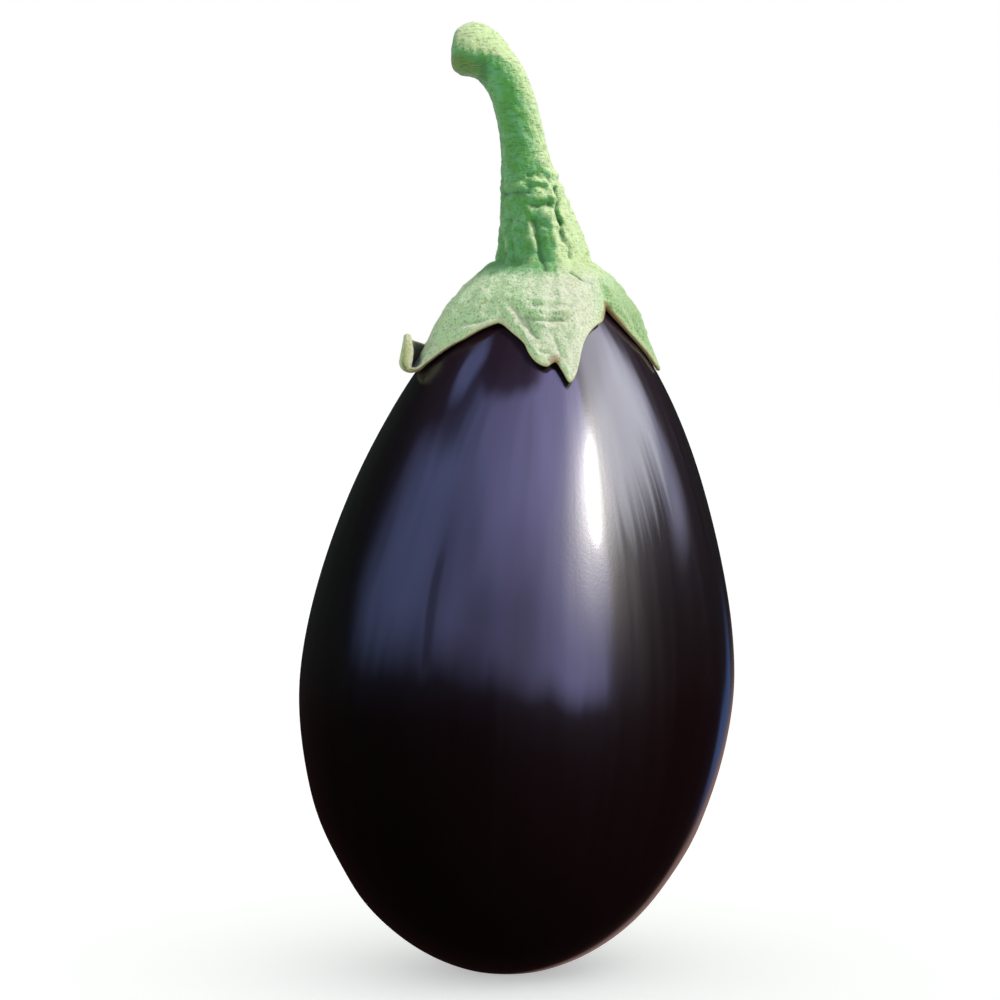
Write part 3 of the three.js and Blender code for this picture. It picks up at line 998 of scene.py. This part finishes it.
calyxLook = {
    "margin": paint(212, 206, 150), "dryBrownAndShade": paint(132, 100, 44),
    "hookUnder": paint(188, 200, 116), "hookShade": paint(120, 138, 78),
    "hookSpots": paint(112, 124, 58), "hollowShade": paint(12, 30, 10),
    "edge": (0, 1), "edgeNoise": 2.4, "edgeMottle": (0.35, 0.6, 0.75),
    # the margin has dried to brown beside a notch and in a nick, at (azimuth, reach, height)
    "notchAt": (54, 22.5, 1), "notchNoise": 3, "notch": (2.5, 7), "notchMargin": (0.6, 1.6),
    "nickAt": (7.5, 37, 2), "nickNoise": 1.5, "nick": (0.8, 2.2, 0.8), "dryShare": 0.85,
    # the underside: brown near the skin, partly its dried colour and partly painted shade beneath
    # the cap, and on the hook pale in front with painted shade on its back
    "front": (4.2, 7.2), "hookCream": (149, 153.5, 0.6), "blotches": (0.4, 0.52, 0.55),
    "hook": (40, 47), "hookNoise": 4, "under": (0, 0.6), "underShare": 0.92,
    "underFront": 0.35, "hollowShadeShare": 0.92, "fineHeight": 0.5, "bumps": 0.6, "sheen": 0.25,
}


def calyxMaterial():
    material, g = newMaterial("leathery_calyx", {**tissueLook, **calyxLook})
    look, place = g.look, g.millimetres()
    _, y, z = g.axes(place)
    names = ("relief", "toMargin", "upper", "hollowShade", "reach")
    relief, toMargin, upper, dark, reach = (g.attribute(name) for name in names)
    colour, fine, mottle = tissueColour(g, place, relief)
    edge = g.drop(toMargin + g.sway(mottle, "edgeNoise"), "edge") * g.step(mottle, "edgeMottle")
    colour = g.blend(edge, colour, look["margin"])
    notch = g.distance(place, onCalyx(*look["notchAt"])) + g.sway(fine, "notchNoise")
    notch = g.drop(notch, "notch") * g.drop(toMargin, "notchMargin")
    nick = g.distance(place, onCalyx(*look["nickAt"])) + g.sway(fine, "nickNoise")
    dry = g.maths("MAXIMUM", notch, g.drop(nick, "nick")) * look["dryShare"]
    colour = g.blend(dry, colour, look["dryBrownAndShade"])
    hookTone = g.blend(g.step(z, "hookCream"), look["hookUnder"], look["capCream"])
    hookTone = g.blend(g.drop(mottle, "blotches"), hookTone, look["hookSpots"])
    # painted shade on the back of the hook, pale on its front
    front = g.step(0 - y, "front")
    hookTone = g.blend(front, look["hookShade"], hookTone)
    hook = g.step(reach + g.sway(mottle, "hookNoise"), "hook")
    underTone = g.blend(hook, look["dryBrownAndShade"], hookTone)
    under = g.drop(upper, "under") * (look["underShare"] - hook * front * look["underFront"])
    colour = g.blend(under, colour, underTone)
    # painted shade in the hook's hollow
    colour = g.blend(dark * look["hollowShadeShare"], colour, look["hollowShade"])
    tissueSurface(g, colour, fine, fine * look["fineHeight"] + mottle)
    return material


stemLook = {
    # the olive patch of the old cut, and painted shade in a dark crease round it
    "cutEnd": paint(84, 122, 24), "cut": (3, 5.2, 0.85), "cutNoise": 3,
    "creaseShade": (3.4, 4.6, 5.4, 7.4), "creaseShadeUnder": (217, 221, 0.6),
    # short dashes across the stem
    "dashNoise": (1, 2, 0.5), "dashWide": 0.5, "dashTall": 2.2, "dashes": (0.56, 0.68),
    "dashesOver": (184, 192, 0.3), "dashDepth": 0.6,
    "grain": (3.2, 2, 0.7), "grainHeight": 0.6, "bumps": 0.3, "sheen": 0.4,
}


def stemMaterial():
    material, g = newMaterial("hairy_stem", {**tissueLook, **stemLook})
    look, place = g.look, g.millimetres()
    colour, fine, _ = tissueColour(g, place, g.attribute("relief"))
    x, y, z = g.axes(place)
    knob = g.distance(place, stem["oldCut"]) + g.sway(fine, "cutNoise")
    # painted shade in the crease round the old cut
    creaseShade = g.window(knob, "creaseShade") * g.drop(z, "creaseShadeUnder")
    colour = g.blend(creaseShade, colour, look["furrow"])
    colour = g.blend(g.drop(knob, "cut"), colour, look["cutEnd"])
    dashPlace = g.join(x * look["dashWide"], y * look["dashWide"], z * look["dashTall"])
    dashes = g.step(g.noise(dashPlace, "dashNoise"), "dashes")
    colour = g.blend(dashes * g.step(z, "dashesOver"), colour, look["furrow"])
    height = fine + g.noise(place, "grain") * look["grainHeight"] - dashes * look["dashDepth"]
    tissueSurface(g, colour, fine, height)
    return material


skin = growFruit()
shapeFruit(skin)
finishPiece(skin, "fruit", skinMaterial())
print("fruit done")

cap = growCalyx()
shapeCalyx(cap)
finishPiece(cap, "calyx", calyxMaterial())
print("calyx done")

stalk = growStem()
shapeStem(stalk)
finishPiece(stalk, "stem", stemMaterial())
print("stem done")


# The floor, the light and the camera. Lamps and surroundings are placed by azimuth and elevation.
studio = {
    "target": (-1.6, 0, 113.66), "distance": 800, "elevation": 3.5, "frameWidth": 240.8,
    "sensor": 36, "clip": (0.01, 100),
    "sun": (88, 52), "sunStrength": 3.2, "sunAngle": 6, "sunlight": (1, 0.96, 0.9),
    "glints": [(49, 38.5), (47, 33), (45.5, 27.5)], "glintStrength": 3.4, "glintAngle": 4.8,
    "ambient": (0.703, 0.74, 0.703, 1), "white": (1, 1, 1, 1),
    "floorSides": 96, "floorRadius": 4, "floorTone": (0.86, 0.86, 0.86, 1),
    "floorRoughness": 0.9, "floorGlow": 0.44,
}


def makeFloor():
    deselectAll()
    bpy.ops.mesh.primitive_circle_add(
        vertices=studio["floorSides"], radius=studio["floorRadius"], fill_type="NGON",
    )
    floor = bpy.context.object
    floor.name = "studio_floor"
    material, g = newMaterial("pale_floor", studio)
    surface(g, {
        "Base Color": studio["floorTone"], "Roughness": studio["floorRoughness"],
        "Specular IOR Level": 0, "Emission Color": studio["white"],
        "Emission Strength": studio["floorGlow"],
    })
    floor.data.materials.append(material)
    floor.visible_glossy = False


# The surroundings that only the skin's reflections show, by azimuth in degrees and by height as
# the sine of the elevation.
air = {
    "ragged": (1, 3, 0.6), "raggedRow": 3, "wisps": (1, 2, 0.5), "streaky": (1, 2, 0.6),
    "turnScale": 0.05, "streakScale": 0.3, "heightScale": 1.5,
    # the bright sky: its ragged foot, its two sides and the trees above it
    "level": (-0.08, 0.19), "levelFrom": -35, "levelSlope": 0.0033, "levelSway": 0.3,
    "left": (-114, -74), "leftSway": 24, "leftShift": (0.5, 0.68, 24), "right": (46, 55),
    "canopy": (0.79, 0.84), "canopyFrom": -45, "canopySlope": 0.0009, "canopySway": 0.05,
    "canopyEnd": (0, 22),
    # a dark pole and a bright gap in the trees
    "pole": (1.5, 5, 0.6), "poleAt": -53.5, "poleLean": 11, "poleTall": (0.08, 0.16, 0.4, 0.5),
    "gleam": (4, 14, 0.8), "gleamAt": -94, "gleamTall": (0.66, 0.74, 0.8, 0.86),
    "side": (96, 110, 112, 126), "sideOver": (0.15, 0.27),
    "back": (95, 130), "backOver": (0.7, 0.85), "sideTone": (1.5, 1.5, 2.2, 1),
    # the haze round the sun
    "hazeFrom": (40, 74), "hazeRagged": 16, "hazeTo": (98, 127), "hazeOver": (0.3, 0.52),
    "hazeWisps": 0.2, "hazeStreaks": 0.3, "hazeThins": (0.64, 0.76, 0.3),
    "hazeTone": (6, 6.1, 7, 1),
    # the sky's tint from left to right, through its wisps, and how bright it is where
    "tint": (-85, 40), "tintLeft": (0.48, 0.6, 1.3, 1), "tintRight": (1.6, 1.55, 3.2, 1),
    "thin": (0.55, 0.55, 0.55, 1), "thick": (1.45, 1.45, 1.45, 1),
    "gain": 1.05, "highGain": (0.45, 0.7, 0.45), "farGain": (-80, -50, 0.35),
    "dim": (14, 34, 0.42), "dimAt": -14, "dimUnder": (0.3, 0.5),
    # below the horizon, with two faint glows low behind the fruit
    "ground": (-0.2, 0.1), "groundTone": (0.012, 0.005, 0.005, 1),
    "treeTone": (0.016, 0.02, 0.02, 1),
    "warmAt": (166, -18), "warm": (0.12, 0.28), "warmTone": (0.32, 0.2, 0.18, 1),
    "blueAt": (150, -10), "blue": (0.06, 0.19, 0.9), "blueTone": (0.1, 0.17, 0.4, 1),
}


def makeWorld():
    world = bpy.data.worlds.new("studio_air")
    bpy.context.scene.world = world
    world.use_nodes = True
    g = Graph(world.node_tree, air)
    ray = g.node("ShaderNodeTexCoord", None, None, "Generated")
    x, y, z = g.axes(ray)
    azimuth = g.maths("ARCTAN2", x, 0 - y) * (180 / math.pi)
    turn, height = azimuth * air["turnScale"], z * air["heightScale"]
    ragged = g.noise(g.join(turn, air["raggedRow"], 0), "ragged")
    wisps = g.noise(g.join(turn, height, 0), "wisps")
    streaky = g.noise(g.join(azimuth * air["streakScale"], height, 0), "streaky")
    level = z + g.maths("MAXIMUM", azimuth, air["levelFrom"]) * air["levelSlope"]
    above = g.step(level + g.sway(ragged, "levelSway"), "level")
    left = g.step(azimuth + g.sway(wisps, "leftSway") - g.step(z, "leftShift"), "left")
    canopy = z - (azimuth - air["canopyFrom"]) * air["canopySlope"]
    canopy = g.step(canopy + g.sway(wisps, "canopySway"), "canopy") * g.drop(azimuth, "canopyEnd")
    pole = g.drop(g.away(azimuth + z * air["poleLean"], "poleAt"), "pole") * g.window(z, "poleTall")
    gleam = g.drop(g.away(azimuth, "gleamAt"), "gleam") * g.window(z, "gleamTall")
    sky = above * left * g.drop(azimuth, "right") * (1 - canopy)
    sky = g.maths("MAXIMUM", sky, gleam) * (1 - pole)
    side = g.window(azimuth, "side") * g.step(z, "sideOver")
    back = g.step(g.maths("ABSOLUTE", azimuth), "back") * g.step(z, "backOver")
    haze = g.step(azimuth + g.sway(ragged, "hazeRagged"), "hazeFrom") * g.drop(azimuth, "hazeTo")
    hazy = g.step(z + g.sway(wisps, "hazeWisps") + g.sway(streaky, "hazeStreaks"), "hazeOver")
    haze = haze * hazy * (1 - g.step(z, "hazeThins"))
    tint = g.blend(g.step(azimuth, "tint"), air["tintLeft"], air["tintRight"])
    tint = g.blend(1, tint, g.blend(wisps, air["thin"], air["thick"]), "MULTIPLY")
    dim = g.drop(g.away(azimuth, "dimAt"), "dim") * g.drop(z, "dimUnder")
    gain = g.step(z, "highGain") + g.drop(azimuth, "farGain") + air["gain"] - dim
    tint = g.blend(1, tint, g.join(gain, gain, gain), "MULTIPLY")
    glossy = g.blend(g.step(z, "ground"), air["groundTone"], air["treeTone"])
    for glow in ("warm", "blue"):
        near = g.drop(g.distance(ray, direction(*air[glow + "At"])), glow)
        glossy = g.blend(near, glossy, air[glow + "Tone"])
    glossy = g.blend(sky, glossy, tint)
    glossy = g.blend(g.maths("MAXIMUM", side, back), glossy, air["sideTone"])
    glossy = g.blend(haze, glossy, air["hazeTone"])
    seen = g.node("ShaderNodeLightPath", None, None, "Is Camera Ray")
    mirrored = g.node("ShaderNodeLightPath", None, None, "Is Glossy Ray")
    colour = g.blend(mirrored, studio["ambient"], glossy)
    colour = g.blend(seen, colour, studio["white"])
    background = g.node("ShaderNodeBackground", None, {"Color": colour, "Strength": 1})
    g.node("ShaderNodeOutputWorld", None, {"Surface": background})


def addLamp(name, spot, strength, angle, lit):  # a far lamp that lights only the pieces given
    light = bpy.data.lights.new(name, "SUN")
    light.energy = strength
    light.angle = math.radians(angle)
    light.color = studio["sunlight"]
    lamp = bpy.data.objects.new(name, light)
    bpy.context.scene.collection.objects.link(lamp)
    lamp.rotation_mode = "QUATERNION"
    lamp.rotation_quaternion = direction(*spot).to_track_quat("Z", "Y")
    group = bpy.data.collections.new(name + "_pieces")
    for piece in lit:
        group.objects.link(piece)
    lamp.light_linking.receiver_collection = group


def makeLamps():  # the floor keeps only the soft shadow of the air around it
    addLamp("key_light", studio["sun"], studio["sunStrength"], studio["sunAngle"], [cap, stalk])
    for number, spot in enumerate(studio["glints"]):
        name = f"glint_light_{number}"
        addLamp(name, spot, studio["glintStrength"], studio["glintAngle"], [skin])


def makeCamera():
    data = bpy.data.cameras.new("camera")
    data.sensor_width = studio["sensor"]
    data.lens = studio["sensor"] * studio["distance"] / studio["frameWidth"]
    data.clip_start, data.clip_end = studio["clip"]
    camera = bpy.data.objects.new("camera", data)
    bpy.context.scene.collection.objects.link(camera)
    back = direction(0, studio["elevation"])
    camera.location = (Vector(studio["target"]) + back * studio["distance"]) * mm
    camera.rotation_mode = "QUATERNION"
    camera.rotation_quaternion = back.to_track_quat("Z", "Y")
    bpy.context.scene.camera = camera


makeFloor()
makeWorld()
makeLamps()
makeCamera()
bpy.context.scene.view_settings.view_transform = "Standard"
print("studio done")
